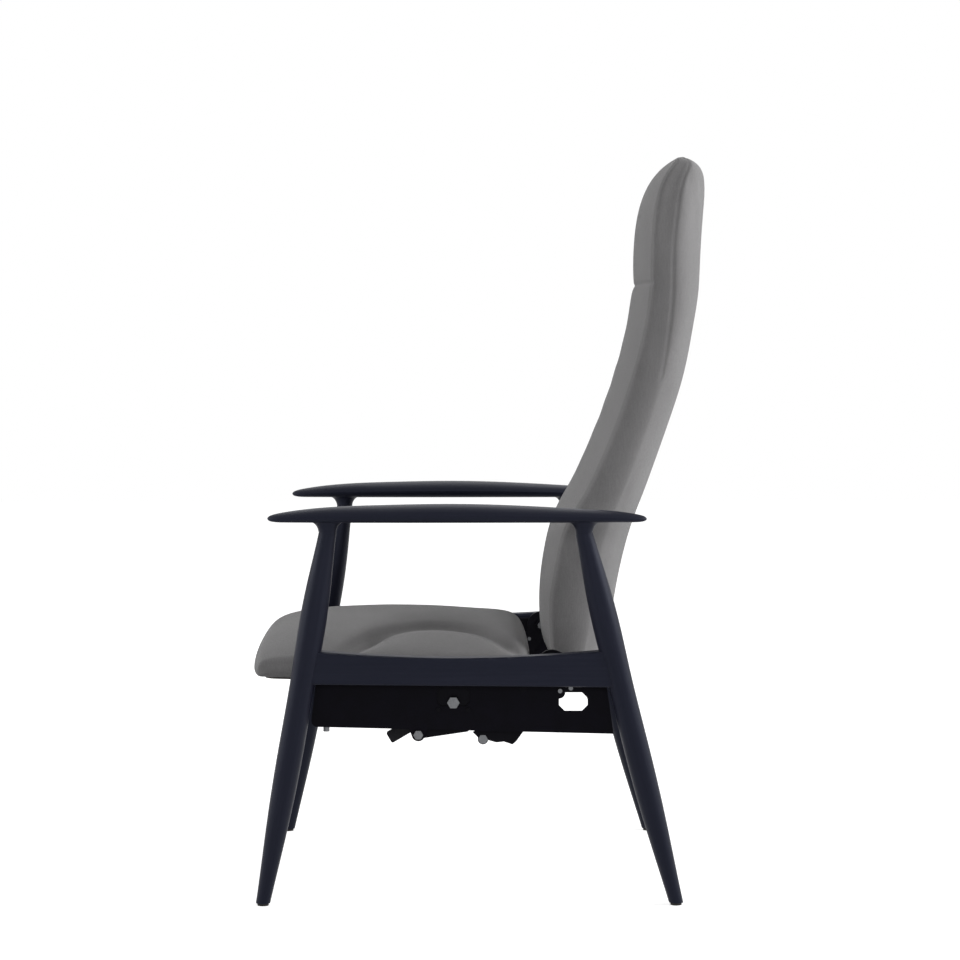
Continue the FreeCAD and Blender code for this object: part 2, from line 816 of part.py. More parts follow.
def torque_tube():
    tube_d = torque_tube_d
    body = tube(toe, tube_d, (tube_d - pin_d) / 2, -bracket_x, bracket_x)
    for side in (-1, 1):
        near = side * (spring_eye_width / 2 + layer_gap)
        far = side * (spring_eye_width / 2 + layer_gap + clevis_t)
        ear = bar(toe, spring_rear, tube_d, pin_d * 1.8, min(near, far), max(near, far))
        ear = ear.cut(rod(toe, tube_d - tube_wall, min(near, far), max(near, far)))
        body = body.fuse(ear)
    reach = spring_eye_width / 2 + layer_gap + clevis_t + cut_over
    return body.cut(rod(spring_rear, pin_d, -reach, reach)).removeSplitter()


def bracket_screw():
    """Small screw on the inner face of each back bracket."""
    shank = rod(bracket_screw_at, bracket_screw_d * 0.7, bracket_x, bracket_x + bracket_t)
    head = rod(bracket_screw_at, bracket_screw_d, bracket_x - small_head_h * 0.5, bracket_x)
    return shank.fuse(head).removeSplitter()


def toe_bolt():
    x_out = bracket_x + bracket_t
    shank = rod(toe, pin_d, bracket_x - bracket_t * 4, x_out)
    head = hexagon(toe, hex_af * 0.8, x_out, x_out + layer_gap - soft_gap)
    return shank.fuse(head).removeSplitter()


def rear_spring_pin():
    reach = spring_eye_width / 2 + layer_gap + clevis_t
    shank = rod(spring_rear, pin_d, -reach - washer_t, reach + washer_t)
    heads = [rod(spring_rear, pin_d * 1.5, reach, reach + washer_t),
             rod(spring_rear, pin_d * 1.5, -reach - washer_t, -reach)]
    return shank.multiFuse(heads).removeSplitter()


def back_pivot_bolt():
    x_out = seat_arm_x + seat_arm_t
    x_in = bracket_x - washer_t - hex_height - bolt_end
    shank = rod(back_pivot, pivot_d - 2 * running_gap, x_in, x_out)
    head = rod(back_pivot, washer_d, x_out, x_out + washer_t)
    return shank.fuse(head).removeSplitter()


def back_pivot_nut():
    x_out = bracket_x - washer_t
    x_in = x_out - hex_height
    nut = hexagon(back_pivot, hex_af, x_in, x_out)
    washer = rod(back_pivot, washer_d, x_out, x_out + washer_t - running_gap)
    bore = rod(back_pivot, pivot_d - 2 * running_gap, x_in - cut_over, bracket_x)
    return nut.fuse(washer).cut(bore).removeSplitter()


def link_rivets():
    x_in = bracket_x
    x_out = seat_arm_x + seat_arm_t
    return both_sides(rod(link_end, pin_d, x_in, x_out))


def link():
    x_in = seat_arm_x
    x_out = seat_arm_x + seat_arm_t
    body = bar(link_pivot, link_end, pivot_d * 1.6, pivot_d * 1.6, x_in, x_out)
    body = body.cut(rod(link_pivot, pin_d + 2 * running_gap, x_in - cut_over, x_out + cut_over))
    return body.cut(rod(link_end, pin_d + 2 * (soft_gap + soft_gap), x_in - cut_over, x_out + cut_over))


def board_curve(inset):
    height = back_board_top_z - back_board_bottom_z
    points = []
    for at, reach in board_form_shares:
        points.append(V(-back_board_half_width, rear_y * reach - inset, back_board_bottom_z + height * at))
    return points


def back_board():
    rear_points = board_curve(back_board_inset)
    front_points = board_curve(back_board_inset + back_board_t)
    edges = [
        smooth_curve(rear_points),
        Part.LineSegment(rear_points[-1], front_points[-1]).toShape(),
        smooth_curve(front_points[::-1]),
        Part.LineSegment(front_points[0], rear_points[0]).toShape(),
    ]
    board = Part.Face(Part.Wire(edges)).extrude(V(2 * back_board_half_width, 0, 0))
    return board.cut(crossbar_block(0))


def back_section(z, front, rear, half_width):
    """Level section of the back: crowned front, tight front corners, barrel-shaped rear."""
    depth = rear - front
    corner = min(back_corner, depth * 0.25)
    corner_y = front + min(back_front_crown, depth * 0.12)
    diagonal = corner * (1 - math.sqrt(0.5))
    side_start = corner_y + corner
    side_end = front + depth * 0.46
    quarter = (half_width * 0.88, front + depth * 0.78)
    rear_start = (half_width * 0.55, rear - depth * 0.07)

    def at(side, x, y):
        return V(side * x, y, z)

    edges = [
        Part.Arc(at(-1, half_width - corner, corner_y), V(0, front, z),
                 at(1, half_width - corner, corner_y)).toShape(),
        Part.Arc(at(1, half_width - corner, corner_y), at(1, half_width - diagonal, corner_y + diagonal),
                 at(1, half_width, side_start)).toShape(),
        Part.LineSegment(at(1, half_width, side_start), at(1, half_width, side_end)).toShape(),
        Part.Arc(at(1, half_width, side_end), at(1, *quarter), at(1, *rear_start)).toShape(),
        Part.Arc(at(1, *rear_start), V(0, rear, z), at(-1, *rear_start)).toShape(),
        Part.Arc(at(-1, *rear_start), at(-1, *quarter), at(-1, half_width, side_end)).toShape(),
        Part.LineSegment(at(-1, half_width, side_end), at(-1, half_width, side_start)).toShape(),
        Part.Arc(at(-1, half_width, side_start), at(-1, half_width - diagonal, corner_y + diagonal),
                 at(-1, half_width - corner, corner_y)).toShape(),
    ]
    return Part.Wire(edges)


def back_form(shares):
    height = overall_height - back_bottom_z
    sections = []
    for at, front, rear, width in shares:
        z = back_bottom_z + height * at
        sections.append(back_section(z, rear_y * front, rear_y * rear, back_half_width * width))
    return sections


def crease_section():
    low = back_form_shares[-1]
    high = head_form_shares[0]
    shares = [(low[k] + high[k]) / 2 for k in range(4)]
    front = rear_y * shares[1] + crease_depth
    return back_section(crease_z, front, rear_y * shares[2], back_half_width * shares[3])


def back_cushion(board):
    form = Part.makeLoft(back_form(back_form_shares) + [crease_section()], True)
    return form.cut(board).cut(crossbar_block(0)).cut(Part.makeCompound(board_screws()))


def head_pillow(board):
    return Part.makeLoft([crease_section()] + back_form(head_form_shares), True).cut(board)


def board_screws():
    screws = []
    y = back_crossbar_at[0] + crossbar_width / 2
    for side in (-1, 1):
        x = side * back_board_half_width * 0.8
        inner = V(x, y - tube_wall, back_crossbar_at[1])
        outer = V(x, y + back_board_t, back_crossbar_at[1])
        shank = Part.makeCylinder(small_pin_d / 2, back_board_t + tube_wall, inner, V(0, 1, 0))
        head = Part.makeCylinder(small_head_d / 2, small_head_h, outer, V(0, 1, 0))
        screws.append(shank.fuse(head))
    return screws


def spring_direction():
    return (vec(0, spring_front) - vec(0, spring_rear)).normalize()


def along_spring(distance):
    """Point on the gas spring's axis, measured from its rear eye."""
    return vec(0, spring_rear) + spring_direction() * distance


def spring_cylinder():
    axis = spring_direction()
    eye = rod(spring_rear, spring_eye_d, -spring_eye_width / 2, spring_eye_width / 2)
    neck_start = along_spring(spring_eye_d / 2 - spring_wall)
    neck = Part.makeCylinder(spring_neck_d / 2, spring_neck_length + spring_wall, neck_start, axis)
    start = spring_eye_d / 2 + spring_neck_length - spring_wall
    body = Part.makeCylinder(spring_body_d / 2, spring_body_length, along_spring(start), axis)
    bore_start = along_spring(start + spring_wall)
    bore = Part.makeCylinder(spring_body_d / 2 - spring_wall, spring_body_length, bore_start, axis)
    shape = eye.fuse(neck).fuse(body.cut(bore))
    hole = rod(spring_rear, pin_d + 2 * spring_eye_clear, -spring_eye_width, spring_eye_width)
    return shape.cut(hole).removeSplitter()


def spring_guide():
    axis = spring_direction()
    end = spring_eye_d / 2 + spring_neck_length - spring_wall + spring_body_length
    start = along_spring(end - spring_guide_length)
    ring = Part.makeCylinder(spring_body_d / 2 - spring_wall, spring_guide_length, start, axis)
    bore_start = along_spring(end - spring_guide_length - cut_over)
    bore_length = spring_guide_length + 2 * cut_over
    bore = Part.makeCylinder(spring_rod_d / 2 + running_gap, bore_length, bore_start, axis)
    return ring.cut(bore)


def spring_span():
    return (vec(0, spring_front) - vec(0, spring_rear)).Length


def spring_rod():
    axis = spring_direction()
    mouth = spring_eye_d / 2 + spring_neck_length - spring_wall + spring_body_length
    inner = mouth - spring_guide_length - piston_length - spring_wall
    outer = spring_span() - spring_head_d / 2 - spring_wall
    shaft = Part.makeCylinder(spring_rod_d / 2, outer - inner, along_spring(inner), axis)
    piston_r = spring_body_d / 2 - spring_wall - running_gap
    piston = Part.makeCylinder(piston_r, piston_length, along_spring(inner), axis)
    return shaft.fuse(piston).removeSplitter()


def spring_head():
    axis = spring_direction()
    eye = rod(spring_front, spring_head_d, -spring_head_width / 2, spring_head_width / 2)
    span = spring_span()
    depth = spring_head_d / 2 + spring_rod_d
    collar = Part.makeCylinder(spring_rod_d, depth, along_spring(span - depth), axis)
    body = eye.fuse(collar)
    seat_length = spring_head_d / 2 + spring_wall
    socket = Part.makeCylinder(spring_rod_d / 2, depth, along_spring(span - seat_length - depth), axis)
    body = body.cut(socket)
    return body.cut(rod(spring_front, pin_d, -spring_head_width, spring_head_width)).removeSplitter()


def release_shaft():
    reach = plate_x + plate_t + washer_t
    body = rod(release_pivot, release_shaft_d, -reach, reach)
    tip = (release_pivot[0], release_pivot[1] + release_arm)
    arm = bar(release_pivot, tip, release_boss_d, pin_d, -release_x - release_plate_t, -release_x)
    arm = arm.cut(rod(tip, small_pin_d, -release_x - release_plate_t - cut_over, -release_x + cut_over))
    return body.fuse(arm).removeSplitter()


def blade_end():
    """End of the lever's blade, inside the handle."""
    share = 1 - grip_core_d / math.hypot(grip_end[0] - grip_start[0], grip_end[1] - grip_start[1])
    return tuple(grip_start[k] + (grip_end[k] - grip_start[k]) * share for k in range(2))


def release_lever():
    x_in = seat_arm_x
    x_out = seat_arm_x + release_plate_t
    body = bar(release_pivot, release_knee, release_boss_d, release_boss_d * 0.7, x_in, x_out)
    parts = [
        bar(release_knee, grip_start, release_boss_d * 0.7, grip_core_d, x_in, x_out),
        bar(grip_start, blade_end(), grip_core_d, grip_core_d, x_in, x_out),
        bar(release_pivot, release_tail, release_boss_d * 0.85, release_tail_d, x_in, x_out),
    ]
    body = body.multiFuse(parts).removeSplitter()
    return body.cut(rod(release_pivot, release_shaft_d, x_in - cut_over, x_out + cut_over))


def release_grip():
    """Flat moulded handle over the lever's blade."""
    dy = grip_end[0] - grip_start[0]
    dz = grip_end[1] - grip_start[1]
    length = math.hypot(dy, dz)
    across = (-dz / length * grip_width / 2, dy / length * grip_width / 2)
    corners = []
    for place, side in ((grip_start, 1), (grip_end, 1), (grip_end, -1), (grip_start, -1)):
        corners.append((place[0] + side * across[0], place[1] + side * across[1]))
    middle = seat_arm_x + release_plate_t / 2
    body = prism(corners, middle - grip_t / 2, middle + grip_t / 2)
    body = body.makeFillet(grip_radius, [e for e in body.Edges if abs(e.Length - grip_t) < grip_t * 0.1])
    return body.cut(release_lever()).removeSplitter()


def release_bolt():
    x_out = plate_x + plate_t + washer_t
    return both_sides(hexagon(release_pivot, hex_af * 0.8, x_out, x_out + small_head_h))


def release_trigger():
    tip = (spring_front[0], spring_front[1] + release_arm)
    x_in = -release_x - release_plate_t
    body = bar(spring_front, tip, release_boss_d, pin_d, x_in, -release_x)
    nose = (spring_front[0] + spring_head_d * 0.8, spring_front[1] + pin_d * 0.6)
    body = body.fuse(bar(spring_front, nose, release_boss_d, small_pin_d, x_in, -release_x)).removeSplitter()
    body = body.cut(rod(spring_front, pin_d, x_in - cut_over, -release_x + cut_over))
    return body.cut(rod(tip, small_pin_d, x_in - cut_over, -release_x + cut_over))


def release_strap():
    """Pull strap between the shaft's arm and the trigger, with a pin at each end."""
    rear_tip = (release_pivot[0], release_pivot[1] + release_arm)
    front_tip = (spring_front[0], spring_front[1] + release_arm)
    x_out = -release_x - release_plate_t - layer_gap
    body = bar(rear_tip, front_tip, pin_d, pin_d, x_out - strap_t, x_out)
    for tip in (rear_tip, front_tip):
        body = body.fuse(rod(tip, small_pin_d - 2 * running_gap, x_out - strap_t, -release_x))
    return body.removeSplitter()


def build():
    front_leg = leg(front_leg_top_y, front_leg_foot_y)
    rear_leg = leg(rear_leg_top_y, rear_leg_foot_y)
    rail = side_rail([front_leg, rear_leg])
    for pin in dowels(dowel_d):
        front_leg = front_leg.cut(pin)
        rear_leg = rear_leg.cut(pin)
        rail = rail.cut(pin)
    for screw in rail_screws():
        rail = rail.cut(screw)
    arm = armrest()
    pegs = Part.makeCompound(dowels(dowel_d - 2 * running_gap))
    glides = Part.makeCompound([glide(front_leg_foot_y), glide(rear_leg_foot_y)])
    plate = chassis_plate()
    bearing = pivot_bearing()
    seat_side = seat_arm()
    bracket = back_bracket().cut(bracket_screw())
    board = seat_board()
    for screw in seat_screws():
        board = board.cut(screw)
    bars = [seat_bar(seat_front_bar_y), seat_bar(seat_rear_bar_y)]
    for screw in seat_screws():
        bars = [shape.cut(screw) for shape in bars]
    shell = back_board()
    crossbar = back_crossbar()
    for screw in board_screws():
        shell = shell.cut(screw)
        crossbar = crossbar.cut(screw)
    lever = release_lever()
    grip = release_grip()
    return {
        "front_leg_left": front_leg,
        "front_leg_right": mirrored(front_leg),
        "rear_leg_left": rear_leg,
        "rear_leg_right": mirrored(rear_leg),
        "armrest_left": arm,
        "armrest_right": mirrored(arm),
        "side_rail_left": rail,
        "side_rail_right": mirrored(rail),
        "rail_dowels": both_sides(pegs),
        "leg_glides": both_sides(glides),
        "chassis_plate_left": plate,
        "chassis_plate_right": mirrored(plate),
        "seat_pivot_bearings": both_sides(bearing),
        "seat_pivot_bolts": both_sides(seat_pivot_bolt()),
        "rail_screws": both_sides(Part.makeCompound(rail_screws())),
        "plate_screws": both_sides(small_screws(small_screw_places(), plate_x)),
        "bearing_screws": both_sides(small_screws(bearing_screw_places(), plate_x - bearing_t)),
        "front_crossmember": front_crossmember(),
        "rear_crossmember": rear_crossmember(),
        "crossmember_screws": tie_screws(),
        "spring_front_pin": front_spring_pin(),
        "link_pins": link_pins(),
        "seat_arm_left": seat_side,
        "seat_arm_right": mirrored(seat_side),
        "seat_front_bar": bars[0],
        "seat_rear_bar": bars[1],
        "seat_board": board,
        "seat_screws": Part.makeCompound(seat_screws()),
        "seat_cushion": seat_cushion(seat_board()),
        "back_pivot_bolts": both_sides(back_pivot_bolt()),
        "back_pivot_nuts": both_sides(back_pivot_nut()),
        "back_bracket_left": bracket,
        "back_bracket_right": mirrored(bracket),
        "back_crossbar": crossbar,
        "back_torque_tube": torque_tube(),
        "bracket_screws": both_sides(bracket_screw()),
        "toe_bolts": both_sides(toe_bolt()),
        "spring_rear_pin": rear_spring_pin(),
        "link_rivets": link_rivets(),
        "back_board": shell,
        "board_screws": Part.makeCompound(board_screws()),
        "back_cushion": back_cushion(back_board()),
        "head_pillow": head_pillow(back_board()),
        "sync_link_left": link(),
        "sync_link_right": mirrored(link()),
        "gas_spring_cylinder": spring_cylinder(),
        "gas_spring_guide": spring_guide(),
        "gas_spring_rod": spring_rod(),
        "gas_spring_head": spring_head(),
        "release_shaft": release_shaft(),
        "release_lever_left": lever,
        "release_lever_right": mirrored(lever),
        "release_grips": both_sides(grip),
        "release_shaft_caps": release_bolt(),
        "release_trigger": release_trigger(),
        "release_strap": release_strap(),
    }


os.makedirs("parts", exist_ok=True)
for name, shape in build().items():
    shape.exportStep("parts/" + name + ".step")
    box = shape.BoundBox
    print(name, len(shape.Solids), shape.isValid(), [round(v, 1) for v in (
        box.XMin, box.XMax, box.YMin, box.YMax, box.ZMin, box.ZMax)])
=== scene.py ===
import json
import math

import bmesh
import bpy
import numpy as np
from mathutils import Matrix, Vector, kdtree


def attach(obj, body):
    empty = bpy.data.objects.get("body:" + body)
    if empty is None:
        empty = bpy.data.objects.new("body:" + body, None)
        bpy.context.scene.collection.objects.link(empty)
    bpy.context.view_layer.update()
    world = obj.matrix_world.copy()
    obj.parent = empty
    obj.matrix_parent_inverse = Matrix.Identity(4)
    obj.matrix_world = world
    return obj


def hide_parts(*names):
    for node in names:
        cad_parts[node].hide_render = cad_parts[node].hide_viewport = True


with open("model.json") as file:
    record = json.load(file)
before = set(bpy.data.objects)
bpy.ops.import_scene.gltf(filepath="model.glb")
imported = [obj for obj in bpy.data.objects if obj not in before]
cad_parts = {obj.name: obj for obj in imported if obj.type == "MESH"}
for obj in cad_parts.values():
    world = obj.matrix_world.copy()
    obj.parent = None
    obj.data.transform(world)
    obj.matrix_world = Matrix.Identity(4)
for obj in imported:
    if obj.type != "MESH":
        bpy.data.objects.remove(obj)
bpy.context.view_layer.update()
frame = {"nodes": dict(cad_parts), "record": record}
nodes = frame["nodes"]
mm = 0.001


# Materials

class Nodes:
    """A material under construction: a Principled shader and short ways to add nodes."""

    def __init__(self, name):
        self.material = bpy.data.materials.new(name)
        self.material.use_nodes = True
        self.tree = self.material.node_tree
        self.shader = self.tree.nodes["Principled BSDF"]

    def add(self, kind, inputs=None, **facts):
        node = self.tree.nodes.new(kind)
        for key, value in facts.items():
            setattr(node, key, value)
        for key, value in (inputs or {}).items():
            if isinstance(value, bpy.types.NodeSocket):
                self.tree.links.new(value, node.inputs[key])
            else:
                node.inputs[key].default_value = value
        return node

    def math(self, operation, a, b=0.0):
        return self.add("ShaderNodeMath", {0: a, 1: b}, operation=operation).outputs[0]

    def place(self, scale=(1, 1, 1), lean=0.0):
        """Object place, turned about X so that a line leaning towards +Y by that many degrees stands upright."""
        where = self.add("ShaderNodeTexCoord").outputs["Object"]
        if lean:
            turn = (math.radians(lean), 0, 0)
            where = self.add("ShaderNodeMapping", {"Vector": where, "Rotation": turn}).outputs[0]
        return self.add("ShaderNodeMapping", {"Vector": where, "Scale": scale}).outputs[0]

    def noise(self, where, scale, detail=3.0, roughness=0.5):
        return self.add("ShaderNodeTexNoise", {"Vector": where, "Scale": scale, "Detail": detail,
                                               "Roughness": roughness}).outputs["Fac"]

    def ramp(self, value, stops):
        node = self.add("ShaderNodeValToRGB", {"Fac": value})
        while len(node.color_ramp.elements) < len(stops):
            node.color_ramp.elements.new(0.5)
        for element, (at, colour) in zip(node.color_ramp.elements, stops):
            element.position = at
            element.color = (*colour, 1.0)
        return node.outputs["Color"]

    def spread(self, value, low, high, from_low=0.3, from_high=0.7):
        return self.add("ShaderNodeMapRange", {"Value": value, "From Min": from_low, "From Max": from_high,
                                               "To Min": low, "To Max": high}).outputs[0]

    def bump(self, height, distance, strength=1.0, normal=None):
        inputs = {"Height": height, "Distance": distance, "Strength": strength}
        if normal is not None:
            inputs["Normal"] = normal
        return self.add("ShaderNodeBump", inputs).outputs[0]

    def set(self, **values):
        names = {"colour": "Base Color", "roughness": "Roughness", "metallic": "Metallic", "normal": "Normal",
                 "sheen": "Sheen Weight", "sheen_roughness": "Sheen Roughness", "specular": "Specular IOR Level",
                 "specular_tint": "Specular Tint"}
        for key, value in values.items():
            socket = self.shader.inputs[names[key]]
            if isinstance(value, bpy.types.NodeSocket):
                self.tree.links.new(value, socket)
            elif key in ("colour", "specular_tint"):
                socket.default_value = (*value, 1.0)
            else:
                socket.default_value = value
        return self.material


def stained_wood(name, lean):
    """Dark stained wood with its grain along a line that leans towards +Y by that many degrees."""
    n = Nodes(name)
    across = n.place((150, 150, 5), lean)
    broad = n.place((30, 30, 2.2), lean)
    grain = n.noise(across, 1.0, 5.0, 0.62)
    figure = n.noise(broad, 1.0, 2.0, 0.45)
    pores = n.noise(n.place((900, 900, 36), lean), 1.0, 2.0, 0.6)
    mixed = n.math("ADD", n.math("MULTIPLY", grain, 0.55), n.math("MULTIPLY", figure, 0.45))
    colour = n.ramp(mixed, ((0.3, (0.0048, 0.0055, 0.0112)), (0.52, (0.0066, 0.0072, 0.0138)),
                            (0.72, (0.0100, 0.0105, 0.0190))))
    fine = n.bump(n.spread(pores, 0, 1, 0.28, 0.5), 0.00012, 0.5)
    return n.set(colour=colour, roughness=n.spread(mixed, 0.52, 0.42), specular=0.15,
                 specular_tint=(0.72, 0.78, 1.0), normal=n.bump(grain, 0.0002, 0.5, fine))


def coated_steel(name, colour, roughness):
    n = Nodes(name)
    where = n.place()
    peel = n.noise(where, 900.0, 2.0, 0.5)
    cloud = n.noise(where, 35.0, 3.0, 0.55)
    low = tuple(v * 0.85 for v in colour)
    high = tuple(v * 1.25 for v in colour)
    return n.set(colour=n.ramp(cloud, ((0.35, low), (0.65, high))),
                 roughness=n.spread(cloud, roughness - 0.05, roughness + 0.06), specular=0.04,
                 normal=n.bump(peel, 0.00012, 0.5))


def plated_steel(name, tint):
    n = Nodes(name)
    where = n.place()
    cloud = n.noise(where, 160.0, 3.0, 0.6)
    lines = n.noise(n.place((60, 1500, 1500)), 1.0, 2.0, 0.5)
    low = tuple(v * 0.78 for v in tint)
    return n.set(colour=n.ramp(cloud, ((0.3, low), (0.7, tint))), metallic=1.0,
                 roughness=n.spread(cloud, 0.24, 0.42), normal=n.bump(lines, 0.00005, 0.6))


def black_rubber(name):
    n = Nodes(name)
    where = n.place()
    speck = n.noise(where, 1400.0, 2.0, 0.5)
    cloud = n.noise(where, 60.0, 2.0, 0.5)
    return n.set(colour=n.ramp(cloud, ((0.3, (0.008, 0.008, 0.0095)), (0.7, (0.014, 0.014, 0.016)))),
                 roughness=n.spread(speck, 0.6, 0.8), specular=0.08, normal=n.bump(speck, 0.0001, 0.6))


def plywood(name):
    n = Nodes(name)
    layers = n.noise(n.place((2, 2, 900)), 1.0, 0.0)
    grain = n.noise(n.place((12, 220, 220)), 1.0, 4.0, 0.6)
    mixed = n.math("ADD", n.math("MULTIPLY", grain, 0.6), n.math("MULTIPLY", layers, 0.4))
    return n.set(colour=n.ramp(mixed, ((0.35, (0.018, 0.016, 0.016)), (0.68, (0.042, 0.036, 0.033)))),
                 roughness=0.62, normal=n.bump(grain, 0.0002, 0.6))


def felt(name):
    n = Nodes(name)
    where = n.place()
    fluff = n.noise(where, 1800.0, 3.0, 0.7)
    return n.set(colour=n.ramp(fluff, ((0.3, (0.02, 0.019, 0.018)), (0.7, (0.05, 0.047, 0.044)))), roughness=0.95,
                 normal=n.bump(fluff, 0.0004, 0.8))


def raw_wood(name):
    n = Nodes(name)
    grain = n.noise(n.place((260, 14, 260)), 1.0, 4.0, 0.6)
    return n.set(colour=n.ramp(grain, ((0.35, (0.42, 0.27, 0.15)), (0.7, (0.56, 0.39, 0.24)))), roughness=0.6,
                 normal=n.bump(grain, 0.0002, 0.5))


def woven_cloth(name, colour, pitch):
    """Plain-woven cloth whose threads follow the surface: each side takes the two axes that lie along it."""
    n = Nodes(name)
    where = n.add("ShaderNodeTexCoord").outputs["Object"]
    axes = n.add("ShaderNodeSeparateXYZ", {0: where}).outputs
    facing = n.add("ShaderNodeSeparateXYZ", {0: n.add("ShaderNodeNewGeometry").outputs["Normal"]}).outputs
    count = math.pi / (pitch * mm)
    waves = [n.math("SINE", n.math("MULTIPLY", axes[k], count)) for k in range(3)]

    def weave(a, b):
        over = n.math("MULTIPLY", waves[a], waves[b])
        warp = n.math("MULTIPLY", n.math("ABSOLUTE", waves[a]), n.math("GREATER_THAN", over, 0.0))
        weft = n.math("MULTIPLY", n.math("ABSOLUTE", waves[b]), n.math("LESS_THAN", over, 0.0))
        return n.math("ADD", warp, weft)

    parts = []
    for k, (a, b) in enumerate(((1, 2), (0, 2), (0, 1))):
        share = n.math("POWER", n.math("ABSOLUTE", facing[k]), 3.0)
        parts.append((share, n.math("MULTIPLY", share, weave(a, b))))
    total = n.math("ADD", n.math("ADD", parts[0][0], parts[1][0]), parts[2][0])
    height = n.math("DIVIDE", n.math("ADD", n.math("ADD", parts[0][1], parts[1][1]), parts[2][1]), total)
    melange = n.noise(n.place((1, 1, 1)), 950.0, 3.0, 0.65)
    slub_a = n.noise(n.place((60, 700, 700)), 1.0, 2.0, 0.5)
    slub_b = n.noise(n.place((700, 700, 60)), 1.0, 2.0, 0.5)
    wear = n.noise(n.place(), 9.0, 3.0, 0.55)
    tone = n.math("ADD", n.math("MULTIPLY", melange, 0.42), n.math("MULTIPLY", n.math("ADD", slub_a, slub_b), 0.2))
    tone = n.math("ADD", tone, n.math("MULTIPLY", wear, 0.18))
    dark = tuple(v * 0.80 for v in colour)
    light = tuple(v * 1.20 for v in colour)
    threads = n.ramp(tone, ((0.36, dark), (0.64, light)))
    # Painted shade and highlight of the weave: its low points darken the thread colour to 0.86 of it, its tops
    # lighten it to 1.05.
    weave_painted_shade = n.spread(height, 0.86, 1.05, 0.0, 1.0)
    threads_with_weave_shade = n.add("ShaderNodeMix", {"Factor": 1.0, 6: threads}, data_type="RGBA", blend_type="MULTIPLY")
    weave_painted_shade_grey = n.add("ShaderNodeCombineColor", {0: weave_painted_shade, 1: weave_painted_shade, 2: weave_painted_shade}).outputs[0]
    n.tree.links.new(weave_painted_shade_grey, threads_with_weave_shade.inputs[7])
    fuzz = n.bump(melange, 0.00025, 0.35)
    return n.set(colour=threads_with_weave_shade.outputs[2], roughness=n.spread(melange, 0.86, 0.96), sheen=0.18, sheen_roughness=0.45,
                 specular=0.25, normal=n.bump(height, 0.00028, 0.55, fuzz))


thread_pitch = 1.25
cloth = woven_cloth("grey_cloth_weave", (0.181, 0.178, 0.18), thread_pitch)
front_leg_lean, rear_leg_lean, lying = 10.0, -14.1, 90.0
wood_front = stained_wood("stained_wood_front_leg", front_leg_lean)
wood_rear = stained_wood("stained_wood_rear_leg", rear_leg_lean)
wood_arm = stained_wood("stained_wood_arm", lying)
steel = coated_steel("black_coated_steel", (0.0042, 0.004, 0.0058), 0.45)
steel_frame = coated_steel("black_coated_plate", (0.0028, 0.0025, 0.0046), 0.45)
finishes = {
    "black_steel": steel, "zinc": plated_steel("zinc_plate", (0.14, 0.143, 0.15)),
    "black_plastic": coated_steel("black_moulding", (0.008, 0.008, 0.009), 0.55),
    "black_rubber": black_rubber("black_rubber"), "plywood": plywood("dark_plywood"), "felt": felt("pressed_felt"),
    "beech": raw_wood("bare_beech"), "walnut": wood_arm, "grey_cloth": cloth,
}
special = {"front_leg": wood_front, "rear_leg": wood_rear, "chassis_plate": steel_frame}


def dress_frame():
    slots = {p["node"]: p["material_slot"] for p in frame["record"]["subparts"]}
    for name, node in nodes.items():
        material = finishes[slots[name]]
        for start, chosen in special.items():
            if name.startswith(start):
                material = chosen
        node.data.materials.clear()
        node.data.materials.append(material)


# Curves and meshes

def curve_through(xs, ys):
    """Natural cubic curve through the points, as a function of x."""
    xs = np.array(xs, float)
    ys = np.array(ys, float)
    n = len(xs)
    h = np.diff(xs)
    a = np.zeros((n, n))
    b = np.zeros(n)
    a[0, 0] = a[-1, -1] = 1
    for i in range(1, n - 1):
        a[i, i - 1], a[i, i], a[i, i + 1] = h[i - 1], 2 * (h[i - 1] + h[i]), h[i]
        b[i] = 6 * ((ys[i + 1] - ys[i]) / h[i] - (ys[i] - ys[i - 1]) / h[i - 1])
    m = np.linalg.solve(a, b)

    def at(x):
        x = np.asarray(x, float)
        i = np.clip(np.searchsorted(xs, x) - 1, 0, n - 2)
        d, e = xs[i + 1] - x, x - xs[i]
        return (m[i] * d ** 3 + m[i + 1] * e ** 3) / (6 * h[i]) + (ys[i] / h[i] - m[i] * h[i] / 6) * d + (
            ys[i + 1] / h[i] - m[i + 1] * h[i] / 6) * e

    return at


def path_points(points, count):
    """count points, evenly spaced, along a smooth curve through the given points."""
    points = np.array(points, float)
    steps = np.concatenate([[0], np.cumsum(np.linalg.norm(np.diff(points, axis=0), axis=1))])
    curves = [curve_through(steps, points[:, k]) for k in range(points.shape[1])]
    fine = np.linspace(0, steps[-1], 600)
    dense = np.stack([c(fine) for c in curves], 1)
    lengths = np.concatenate([[0], np.cumsum(np.linalg.norm(np.diff(dense, axis=0), axis=1))])
    even = np.linspace(0, lengths[-1], count)
    return np.stack([np.interp(even, lengths, dense[:, k]) for k in range(points.shape[1])], 1)


